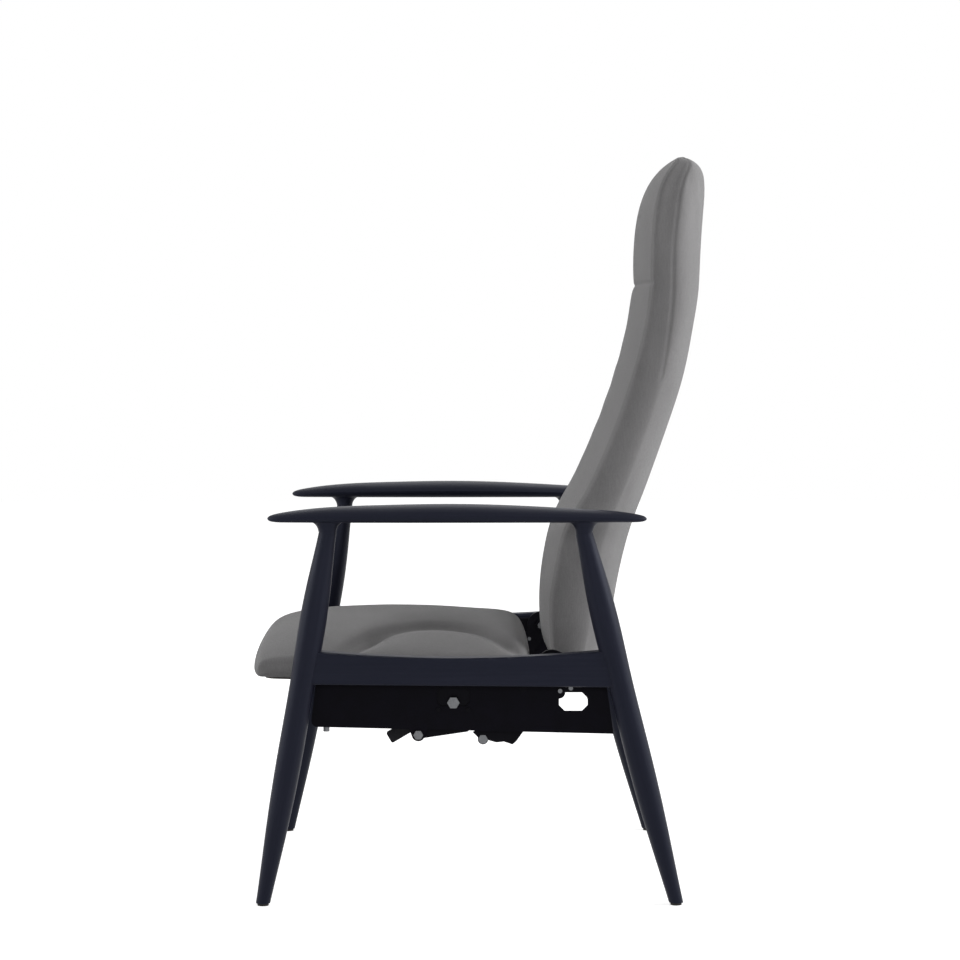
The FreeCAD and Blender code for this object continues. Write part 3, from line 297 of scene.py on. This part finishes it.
def closed_loft(name, rings, cap_rows, bulge):
    """Closed mesh from closed rings of equal count. Each end is capped by rows between the ring's two halves."""
    rings = np.array(rings)
    count, width = rings.shape[:2]
    half = width // 2
    verts = rings.reshape(-1, 3).tolist()
    faces = []
    for r in range(count - 1):
        for k in range(width):
            a, b = r * width + k, r * width + (k + 1) % width
            faces.append((a, b, b + width, a + width))
    for end, base, sign in ((0, 0, -1), (count - 1, (count - 1) * width, 1)):
        ring = rings[end]
        first = [base + k for k in range(half + 1)]
        last = [base + (width - k) % width for k in range(half + 1)]
        previous = first
        for row in range(1, cap_rows + 1):
            t = row / cap_rows
            if row == cap_rows:
                now = last
            else:
                now = [first[0]]
                for k in range(1, half):
                    p = ring[k] * (1 - t) + ring[width - k] * t + np.array(bulge[end != 0]) * math.sin(math.pi * t)
                    now.append(len(verts))
                    verts.append(p.tolist())
                now.append(first[half])
            for k in range(half):
                quad = [previous[k], now[k], now[k + 1], previous[k + 1]]
                quad = [v for i, v in enumerate(quad) if v not in quad[:i]]
                if len(quad) > 2:
                    faces.append(tuple(quad[::-1] if sign > 0 else quad))
            previous = now
    mesh = bpy.data.meshes.new(name)
    mesh.from_pydata(verts, [], faces)
    mesh.validate()
    obj = bpy.data.objects.new(name, mesh)
    bpy.context.scene.collection.objects.link(obj)
    return obj


def coords(obj):
    co = np.empty(len(obj.data.vertices) * 3)
    obj.data.vertices.foreach_get("co", co)
    return co.reshape(-1, 3)


def set_coords(obj, co):
    obj.data.vertices.foreach_set("co", np.ascontiguousarray(co, float).ravel())
    obj.data.update()


def outward(obj):
    b = bmesh.new()
    b.from_mesh(obj.data)
    bmesh.ops.recalc_face_normals(b, faces=b.faces)
    if b.calc_volume(signed=True) < 0:
        bmesh.ops.reverse_faces(b, faces=b.faces)
    b.to_mesh(obj.data)
    b.free()
    obj.data.update()


def apply_modifiers(obj):
    graph = bpy.context.evaluated_depsgraph_get()
    mesh = bpy.data.meshes.new_from_object(obj.evaluated_get(graph))
    obj.modifiers.clear()
    old = obj.data
    obj.data = mesh
    bpy.data.meshes.remove(old)


puff_pressure, puff_cap, puff_frames = 4.0, 2.5 * mm, 20


def puff(obj, pinned):
    """Swells the closed mesh under inner pressure, held at its seams, with no point moving further than the cap."""
    rest = coords(obj)
    group = obj.vertex_groups.new(name="seams")
    group.add([int(i) for i in pinned], 1.0, "REPLACE")
    cloth_mod = obj.modifiers.new("cloth", "CLOTH")
    settings = cloth_mod.settings
    settings.quality = 6
    settings.mass = 0.3
    settings.tension_stiffness = settings.compression_stiffness = 30
    settings.shear_stiffness = 15
    settings.bending_stiffness = 4
    settings.use_pressure = True
    settings.uniform_pressure_force = puff_pressure
    settings.vertex_group_mass = "seams"
    settings.effector_weights.gravity = 0
    cloth_mod.point_cache.frame_start = 1
    cloth_mod.point_cache.frame_end = puff_frames
    scene = bpy.context.scene
    for f in range(1, puff_frames + 1):
        scene.frame_set(f)
    graph = bpy.context.evaluated_depsgraph_get()
    done = obj.evaluated_get(graph).to_mesh()
    co = np.empty(len(done.vertices) * 3)
    done.vertices.foreach_get("co", co)
    obj.evaluated_get(graph).to_mesh_clear()
    obj.modifiers.remove(cloth_mod)
    move = co.reshape(-1, 3) - rest
    size = np.linalg.norm(move, axis=1, keepdims=True)
    move *= np.minimum(1.0, puff_cap / np.maximum(size, 1e-9))
    set_coords(obj, rest + move)
    scene.frame_set(1)


def smoothed(obj, rounds, keep):
    """Evens the mesh by moving each point towards the middle of its neighbours, except the kept points."""
    co = coords(obj)
    edges = np.empty(len(obj.data.edges) * 2, np.int32)
    obj.data.edges.foreach_get("vertices", edges)
    edges = edges.reshape(-1, 2)
    count = np.bincount(edges.ravel(), minlength=len(co)).reshape(-1, 1)
    free = np.ones((len(co), 1))
    free[list(keep)] = 0
    for _ in range(rounds):
        total = np.zeros_like(co)
        np.add.at(total, edges[:, 0], co[edges[:, 1]])
        np.add.at(total, edges[:, 1], co[edges[:, 0]])
        co += free * 0.5 * (total / count - co)
    set_coords(obj, co)


def subdivide(obj):
    mod = obj.modifiers.new("sub", "SUBSURF")
    mod.levels = mod.render_levels = 1
    apply_modifiers(obj)
    for polygon in obj.data.polygons:
        polygon.use_smooth = True


def press_line(obj, line, width, depth):
    """Presses a groove into the mesh along a line of points, with a rounded bottom."""
    tree = kdtree.KDTree(len(line))
    for i, p in enumerate(line):
        tree.insert(p, i)
    tree.balance()
    co = coords(obj)
    normals = np.empty(len(co) * 3)
    obj.data.vertices.foreach_get("normal", normals)
    normals = normals.reshape(-1, 3)
    for i, p in enumerate(co):
        distance = tree.find(p)[2]
        if distance < 3 * width:
            co[i] -= normals[i] * depth * math.exp(-(distance / width) ** 2)
    set_coords(obj, co)


def dense_line(points):
    """The line with points at most about 1.5 mm apart."""
    step = 1.5 * mm
    points = np.array(points)
    lengths = np.concatenate([[0], np.cumsum(np.linalg.norm(np.diff(points, axis=0), axis=1))])
    even = np.linspace(0, lengths[-1], max(2, int(lengths[-1] / step)))
    return np.stack([np.interp(even, lengths, points[:, k]) for k in range(3)], 1)


# The back

back_z = [372, 380, 392, 412, 470, 540, 600, 640, 680, 760, 840, 920, 970.6, 1002.5, 1050, 1110, 1150, 1167, 1178,
          1186, 1190]
back_front = curve_through(back_z, [114, 110, 107.5, 106, 104.5, 114.3, 130, 153.5, 173, 206, 233.5, 254, 261,
                                    263, 264.7, 271.6, 284.4, 294.5, 303.5, 311, 317])
back_rear = curve_through(back_z, [196, 201, 207, 213, 223, 237, 254.5, 269.5, 284, 312, 337, 353.5, 361.5,
                                   363.5, 365.5, 369.5, 372.5, 371, 364, 352, 339])
back_half = curve_through(back_z, [203, 205.5, 207, 209, 212, 213, 211, 209.5, 207.5, 204, 202, 201, 200.5,
                                   200, 199.5, 196.5, 189, 182.5, 175, 167, 158])
seam_share = curve_through([378, 540, 700, 822, 920, 1036, 1120, 1165, 1190],
                           [0.62, 0.62, 0.615, 0.59, 0.515, 0.46, 0.47, 0.5, 0.6])
front_crown = curve_through([378, 480, 600, 700, 800, 920, 1050, 1190], [7, 7, 9, 11.5, 11.5, 10.5, 10, 7])
corner_size = curve_through([378, 480, 600, 700, 800, 920, 1050, 1190], [9, 11, 13, 17, 15, 10, 8, 8])
back_columns = {"front": 32, "corner": 3, "side": 5, "rear": 48}
crease_z, crease_depth, crease_width = 985.0, 2.6, 9.0
round_power, box_power = 3.2, 2.3  # superellipse exponents of the barrel-shaped and the boxed section
side_hollow = 1.5


def back_ring(z, inset=0.0):
    """Level section of the back, from the left rear seam along the front to the right one, then along the rear."""
    front, rear, half = float(back_front(z)) + inset, float(back_rear(z)) - inset, float(back_half(z)) - inset
    depth = rear - front
    crown = min(float(front_crown(z)), depth * 0.12)
    corner = min(float(corner_size(z)), depth * 0.2)
    start = front + crown + corner
    seam_y = max(front + depth * float(seam_share(z)), start + 2)
    flat = half - corner
    boxed = min(1.0, max(0.0, (z - 800) / 130))
    boxed *= boxed * (3 - 2 * boxed)
    n = back_columns
    at_seam = math.asin(((seam_y - start) / (rear - start)) ** (round_power / 2))

    def barrel(y):
        """Half width at y where the side curves all the way from the front corner to the rear."""
        return half * (1 - max(0.0, (y - start) / (rear - start)) ** round_power) ** (1 / round_power)

    right = []
    for k in range(1, n["front"] // 2 + 1):
        x = flat * k / (n["front"] // 2)
        right.append((x, front + crown * (x / flat) ** 2.0))
    for k in range(1, n["corner"] + 1):
        a = math.pi / 2 * k / n["corner"]
        right.append((flat + corner * math.sin(a), front + crown + corner * (1 - math.cos(a))))
    for k in range(1, n["side"] + 1):
        t = k / n["side"]
        y = start + (seam_y - start) * t
        straight = half - side_hollow * math.sin(math.pi * t)
        right.append((straight * boxed + barrel(y) * (1 - boxed), y))
    rear_side = []
    for k in range(1, n["rear"] // 2):
        share = k / (n["rear"] // 2)
        a = math.pi / 2 * share
        power = 2 / box_power
        box_x = half * math.cos(a) ** power
        box_y = seam_y + (rear - seam_y) * math.sin(a) ** power
        a = at_seam + (math.pi / 2 - at_seam) * share
        power = 2 / round_power
        round_x = half * math.cos(a) ** power
        round_y = start + (rear - start) * math.sin(a) ** power
        rear_side.append((box_x * boxed + round_x * (1 - boxed), box_y * boxed + round_y * (1 - boxed)))
    left = [(-x, y) for x, y in right[::-1]]
    ring = left + [(0.0, front)] + right + rear_side + [(0.0, rear)] + [(-x, y) for x, y in rear_side[::-1]]
    z -= 2.4 * max(0.0, (z - 1150) / 40) ** 2
    return [(x * mm, y * mm, z * mm) for x, y in ring]


def make_back():
    heights = [372, 374.5, *np.arange(380, 972, 9.5), 972, 977, 981, crease_z, 989, 993, 999,
               *np.arange(1008, 1150, 9.5), 1152, 1160, 1167, 1173, 1179, 1184, 1188, 1190]
    rings = [back_ring(heights[0], 7), back_ring(heights[1], 2.5)] + [back_ring(z) for z in heights[2:]]
    rings = [np.array(r) for r in rings]
    obj = closed_loft("back_upholstery", rings, 6, ((0, 0, -2 * mm), (0, 0, 1 * mm)))
    outward(obj)
    n = back_columns
    width = len(rings[0])
    half = width // 2
    left_seam, right_seam = 0, half
    left_front = n["side"] + n["corner"] // 2 + 1
    right_front = half - left_front
    count = len(rings)
    index = np.arange(count * width).reshape(count, width)
    crease_row = heights.index(crease_z)
    front_panel = list(range(left_front, right_front + 1))
    seams = {
        "front_left": index[2:, left_front],
        "front_right": index[2:, right_front],
        "front_top": index[-1, left_front:right_front + 1],
        "rear_left": index[2:, left_seam],
        "rear_right": index[2:, right_seam],
        "rear_top": np.append(index[-1, right_seam:], index[-1, 0]),
        "crease": index[crease_row, left_front:right_front + 1],
        "bottom": index[0],
    }
    co = coords(obj)
    for row, z in enumerate(heights):
        dent = crease_depth * math.exp(-((z - crease_z) / crease_width) ** 2)
        for k in front_panel:
            x = abs(co[index[row, k], 0]) / (float(back_half(z)) * mm)
            co[index[row, k], 1] += dent * mm * (1 - 0.45 * x ** 4)
    set_coords(obj, co)
    pinned = sorted(set(int(i) for s in seams.values() for i in s) | set(index[0].tolist()))
    puff(obj, pinned)
    smoothed(obj, 2, pinned)
    co = coords(obj)
    lines = {name: co[ids] for name, ids in seams.items()}
    obj.data.materials.append(cloth)
    subdivide(obj)
    for name in ("front_left", "front_right", "rear_left", "rear_right", "rear_top"):
        line = dense_line(lines[name])
        if name.startswith("rear"):
            line = line[line[:, 2] > 0.83]
        press_line(obj, line, 2.6 * mm, 0.8 * mm if name.endswith("top") else 1.5 * mm)
    press_line(obj, dense_line(lines["crease"]), 3.0 * mm, 1.6 * mm)
    return obj


# The seat

seat_path = [(79, 348), (81, 360), (80, 382), (75, 403), (64, 418), (44, 427), (0, 434), (-70, 440), (-143, 440.5),
             (-213, 438), (-265, 434.8), (-304.5, 428.6), (-333.5, 420.5), (-354.5, 407), (-364, 389), (-367.5, 371),
             (-368.2, 362), (-366, 357)]
seam_depth = curve_through([-230, -213, -196, -171, -147, -114, -82, -49, -17, 16, 40, 60, 80],
                           [5, 14, 36, 71, 102, 125, 134, 134, 125, 102, 66, 30, 5])
seam_from, seam_to = -222.0, 78.0
seat_half, seat_low, seat_high, side_high = 252.0, 357.0, 438.0, 388.0
seam_allowance = 5.0
edge_radius = 5.5
seam_roll, roll_reach = 12.5, 80


def seat_inside(y, z):
    """0 where the side has no wing, 1 at the middle of the wing's length."""
    t = (y - seam_from) / (seam_to - seam_from)
    return 4 * t * (1 - t) if 0 < t < 1 and z > 395 else 0.0


def seam_line(y, z):
    """Distance from the chair's middle to the curved seam."""
    depth = float(seam_depth(y)) if seat_inside(y, z) else 0.0
    return seat_half - max(depth, seam_allowance)


def side_z(z):
    """Height at the cushion's side of a point whose height in the middle is z."""
    u = min(1.0, max(0.0, (z - seat_low) / (seat_high - seat_low)))
    return seat_low + (side_high - seat_low) * (1 - (1 - u) ** 2)


def seat_crown(x, y, z):
    """Height at x of the crowned panel, which is z high in the middle and flatter towards the rear."""
    rear = min(1.0, max(0.0, (y + 213) / 290))
    q = min(1.0, abs(x) / seat_half)
    return z - max(0.0, z - side_z(z)) * (0.70 * q ** 2 + 0.30 * q ** 10) * (1 - 0.37 * rear)


def seat_top(x, y, z):
    """Height of the seat's upper cover: a crowned panel that rolls down to its curved seam, and a flatter wing."""
    inside = seat_inside(y, z)
    line = seam_line(y, z)
    roll = seam_roll * min(1.0, inside * 2.0)
    distance = line - abs(x)
    if distance >= 0:
        near = max(0.0, 1 - distance / roll_reach) ** 2.3
        return seat_crown(x, y, z) - roll * near
    seam_z = seat_crown(line, y, z) - roll
    s = -distance / (seat_half - line)
    fall = max(0.0, seam_z - min(side_high, side_z(z)))
    return seam_z - fall * (0.32 * s + 0.68 * s * s)


def seat_ring(column, columns, gusset, path, bottom):
    """Closed side outline of one column: over the top from the rear bottom to the front bottom, then back."""
    ring = []
    side = -1 if column < 0 else 1
    k = abs(column)
    inner = columns - gusset
    outer = 1 - (1 - max(0, k - inner) / gusset) ** 1.8

    def pull(x, y):
        near_front = min(1.0, max(0.0, (-250 - y) / 80))
        near_rear = min(1.0, max(0.0, (y - 40) / 30))
        return 11 * (x / seat_half) ** 6 * (near_front - 0.6 * near_rear)

    for y, z in path:
        line = seam_line(y, z)
        x = line * k / inner if k <= inner else line + (seat_half - line) * outer
        ring.append((side * x, y + pull(x, y), seat_top(x, y, z)))
    line = seat_half - seam_allowance
    x = line * k / inner if k <= inner else line + (seat_half - line) * outer
    for y, z in bottom:
        ring.append((side * x, y + pull(x, y), z))
    middle = (max(p[1] for p in ring) + min(p[1] for p in ring)) / 2
    reach = (max(p[1] for p in ring) - min(p[1] for p in ring)) / 2
    eased = []
    for x, y, z in ring:
        t = min(1.0, max(0.0, (abs(x) - seat_half + edge_radius) / edge_radius))
        inset = edge_radius * (1 - math.sqrt(1 - t * t))
        height = max(8.0, (seat_top(x, y, side_high) - seat_low) / 2)
        eased.append((x, middle + (y - middle) * (1 - inset / reach),
                      seat_low + height + (z - seat_low - height) * (1 - inset / (height + 4))))
    return [(x * mm, y * mm, z * mm) for x, y, z in eased]


def make_seat():
    along, columns, gusset = 85, 30, 9
    top = path_points(seat_path, along)
    first, last = top[0], top[-1]
    bottom = [tuple(last + (first - last) * t) for t in np.linspace(0, 1, along)[1:-1]]
    rings = [np.array(seat_ring(c, columns, gusset, top, bottom)) for c in range(-columns, columns + 1)]
    obj = closed_loft("seat_upholstery", rings, 7, ((-1.5 * mm, 0, 0), (1.5 * mm, 0, 0)))
    outward(obj)
    width = len(rings[0])
    index = np.arange(len(rings) * width).reshape(len(rings), width)
    rows = [i for i in range(along) if seam_from < top[i][0] < seam_to and top[i][1] > 395]
    seam_left = index[gusset, rows[0] - 1:rows[-1] + 2]
    seam_right = index[-1 - gusset, rows[0] - 1:rows[-1] + 2]
    under = index[:, along:].ravel()
    ends = np.concatenate([index[0], index[-1]])
    pinned = sorted(set(seam_left.tolist()) | set(seam_right.tolist()) | set(under.tolist()) | set(ends.tolist()))
    puff(obj, pinned)
    smoothed(obj, 2, pinned)
    co = coords(obj)
    lines = {"left": co[seam_left], "right": co[seam_right]}
    obj.data.materials.append(cloth)
    subdivide(obj)
    for name in ("left", "right"):
        press_line(obj, dense_line(lines[name]), 13.0 * mm, 8.0 * mm)
        for low, high, depth in ((-212, -172, 4.0), (42, 72, 5.5)):
            end = [p for p in lines[name] if low * mm < p[1] < high * mm]
            press_line(obj, dense_line(end), 22.0 * mm, depth * mm)
    return obj


# Room, light and camera

def area_light(name, place, target, size, power):
    data = bpy.data.lights.new(name, "AREA")
    data.shape = "RECTANGLE"
    data.size, data.size_y = size
    data.energy = power
    lamp = bpy.data.objects.new(name, data)
    lamp.location = place
    lamp.rotation_euler = (Vector(target) - Vector(place)).to_track_quat("-Z", "Y").to_euler()
    bpy.context.scene.collection.objects.link(lamp)


def make_room():
    mesh = bpy.data.meshes.new("floor")
    half_size, cells = 9.0, 8
    step = half_size * 2 / cells
    verts = [(i * step - half_size, k * step - half_size, 0) for i in range(cells + 1) for k in range(cells + 1)]
    corners = [i * (cells + 1) + k for i in range(cells) for k in range(cells)]
    faces = [(a, a + cells + 1, a + cells + 2, a + 1) for a in corners]
    mesh.from_pydata(verts, [], faces)
    floor = bpy.data.objects.new("floor", mesh)
    bpy.context.scene.collection.objects.link(floor)
    n = Nodes("pale_floor")
    seen = n.add("ShaderNodeLightPath").outputs
    far = n.add("ShaderNodeVectorMath", {0: n.add("ShaderNodeTexCoord").outputs["Object"]}, operation="LENGTH")
    glow = n.spread(far.outputs["Value"], 0.72, 1.0, 0.8, 3.2)
    shown = n.math("MAXIMUM", seen["Is Camera Ray"], n.math("MAXIMUM", seen["Is Glossy Ray"],
                                                            seen["Is Transmission Ray"]))
    strength = n.math("MULTIPLY", shown, glow)
    cloud = n.noise(n.place(), 3.0, 2.0)
    n.set(colour=n.ramp(cloud, ((0.3, (0.6, 0.6, 0.6)), (0.7, (0.62, 0.62, 0.62)))), roughness=0.9, specular=0.1)
    n.shader.inputs["Emission Color"].default_value = (1, 1, 1, 1)
    n.tree.links.new(strength, n.shader.inputs["Emission Strength"])
    mesh.materials.append(n.material)

    world = bpy.data.worlds.new("studio")
    bpy.context.scene.world = world
    world.use_nodes = True
    tree = world.node_tree
    back = tree.nodes["Background"]
    path = tree.nodes.new("ShaderNodeLightPath").outputs
    level = tree.nodes.new("ShaderNodeMapRange")
    level.inputs["To Min"].default_value = 0.1
    level.inputs["To Max"].default_value = 1.0
    shown = path["Is Camera Ray"]
    for kind in ("Is Glossy Ray", "Is Transmission Ray"):
        either = tree.nodes.new("ShaderNodeMath")
        either.operation = "MAXIMUM"
        tree.links.new(shown, either.inputs[0])
        tree.links.new(path[kind], either.inputs[1])
        shown = either.outputs[0]
    tree.links.new(shown, level.inputs["Value"])
    back.inputs["Color"].default_value = (1, 1, 1, 1)
    tree.links.new(level.outputs[0], back.inputs["Strength"])

    area_light("lamp_front", (0.5, -3.4, 1.7), (0, 0, 0.6), (2.8, 2.2), 81)
    area_light("lamp_rear", (0.5, 3.4, 2.1), (0, 0.1, 0.7), (2.8, 2.2), 172)
    area_light("lamp_top", (-2.2, 0, 3.0), (0, 0, 0.5), (2.0, 2.0), 29)
    area_light("lamp_side", (3.6, -0.2, 1.6), (0, 0, 0.6), (1.2, 0.6), 22)


def make_camera():
    data = bpy.data.cameras.new("camera")
    data.sensor_width = 36.0
    data.lens = 95.18
    camera = bpy.data.objects.new("camera", data)
    camera.location = (4.2756, -0.0327, 0.9135)
    pitch, turn = math.radians(3.44), math.radians(0.458)
    ahead = Vector((-math.cos(pitch) * math.cos(turn), math.cos(pitch) * math.sin(turn), -math.sin(pitch)))
    camera.rotation_euler = ahead.to_track_quat("-Z", "Y").to_euler()
    data.clip_start, data.clip_end = 0.05, 60
    bpy.context.scene.collection.objects.link(camera)
    bpy.context.scene.camera = camera


make_camera()
dress_frame()
make_room()

back = make_back()
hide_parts("back_cushion", "head_pillow")
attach(back, "back")

seat = make_seat()
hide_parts("seat_cushion")
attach(seat, "seat")

bpy.context.scene.view_settings.view_transform = "Standard"
